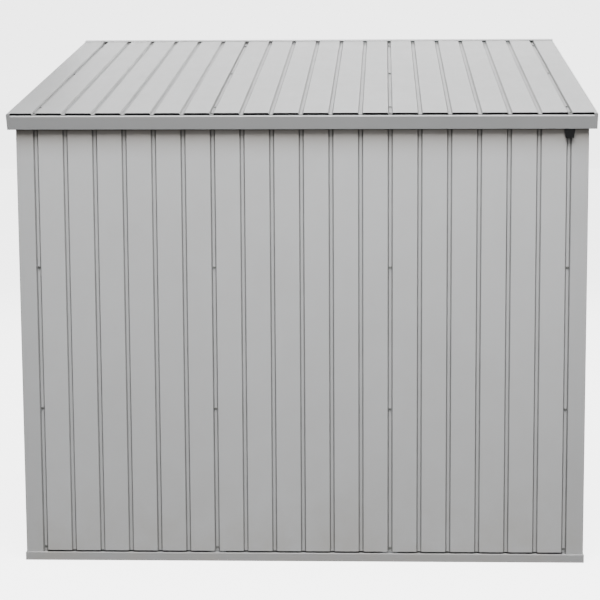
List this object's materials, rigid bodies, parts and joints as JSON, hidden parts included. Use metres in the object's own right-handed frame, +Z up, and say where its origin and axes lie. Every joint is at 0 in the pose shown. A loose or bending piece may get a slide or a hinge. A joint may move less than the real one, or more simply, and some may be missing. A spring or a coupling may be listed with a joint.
{
  "type": "deck storage box",
  "caption": "Outdoor storage box of ribbed sheet steel with a sloping lid hinged at its high back edge and held by slotted stays.",
  "frame": {"origin": "on the ground, under the middle of the whole box", "axes": "+X to the right seen from the low front, +Y to the high back, +Z up"},
  "size_m": [1.388, 0.8414, 1.3122],
  "materials": {
    "sheet": "light grey satin coated steel",
    "trim": "light grey satin coated steel",
    "frame": "galvanised, dull",
    "zinc": "zinc plated",
    "rubber": "matt black"
  },
  "bodies": {
    "box": {"base_rail_front": "frame", "base_rail_back": "frame", "base_rail_left": "frame", "base_rail_right": "frame", "floor_joists": "frame", "floor_sheet_left": "frame", "floor_sheet_centre": "frame", "floor_sheet_right": "frame", "corner_post_front_left": "trim", "corner_post_front_right": "trim", "corner_post_back_left": "trim", "corner_post_back_right": "trim", "front_studs": "frame", "back_studs": "frame", "side_studs": "frame", "front_sheet_left": "sheet", "front_sheet_centre": "sheet", "front_sheet_right": "sheet", "back_sheet_left": "sheet", "back_sheet_centre": "sheet", "back_sheet_right": "sheet", "left_sheet_front": "sheet", "left_sheet_back": "sheet", "right_sheet_front": "sheet", "right_sheet_back": "sheet", "top_rail_front": "frame", "top_rail_back": "frame", "top_rail_left": "frame", "top_rail_right": "frame", "front_screws": "zinc", "back_screws": "zinc", "left_screws": "zinc", "right_screws": "zinc", "lid_buffer_strip": "rubber", "hinge_body_leaves": "zinc", "hinge_pins": "zinc", "hinge_body_screws": "zinc", "stay_wall_brackets": "zinc", "stay_studs": "zinc"},
    "lid": {"lid_sheet_left": "sheet", "lid_sheet_centre": "sheet", "lid_sheet_right": "sheet", "lid_front_trim": "trim", "lid_back_trim": "trim", "lid_side_trim_left": "trim", "lid_side_trim_right": "trim", "lid_rail_left": "frame", "lid_rail_right": "frame", "lid_cross_rails": "frame", "lid_screws": "zinc", "lid_filler_blocks": "rubber", "hinge_lid_leaves": "zinc", "hinge_lid_screws": "zinc", "stay_lid_brackets": "zinc", "stay_pivots": "zinc", "lid_catch": "rubber"},
    "stay_left": {"stay_arm_left": "zinc"},
    "stay_right": {"stay_arm_right": "zinc"}
  },
  "joints": [
    {"name": "lid_hinge", "type": "hinge", "parent": "box", "child": "lid", "pos_m": [0, 0.39979, 1.29378], "axis": [-1, 0, 0], "range_deg": [0, 65]},
    {"name": "stay_left_turn", "type": "hinge", "parent": "lid", "child": "stay_left", "pos_m": [-0.6421, 0.15281, 1.2113], "axis": [-1, 0, 0], "range_deg": [-32.5, 0]},
    {"name": "stay_right_turn", "type": "hinge", "parent": "lid", "child": "stay_right", "pos_m": [0.6421, 0.15281, 1.2113], "axis": [-1, 0, 0], "range_deg": [-32.5, 0]}
  ],
  "couplings": [
    {"joint": "stay_left_turn", "follows": "lid_hinge", "ratio": -0.5},
    {"joint": "stay_right_turn", "follows": "lid_hinge", "ratio": -0.5}
  ]
}
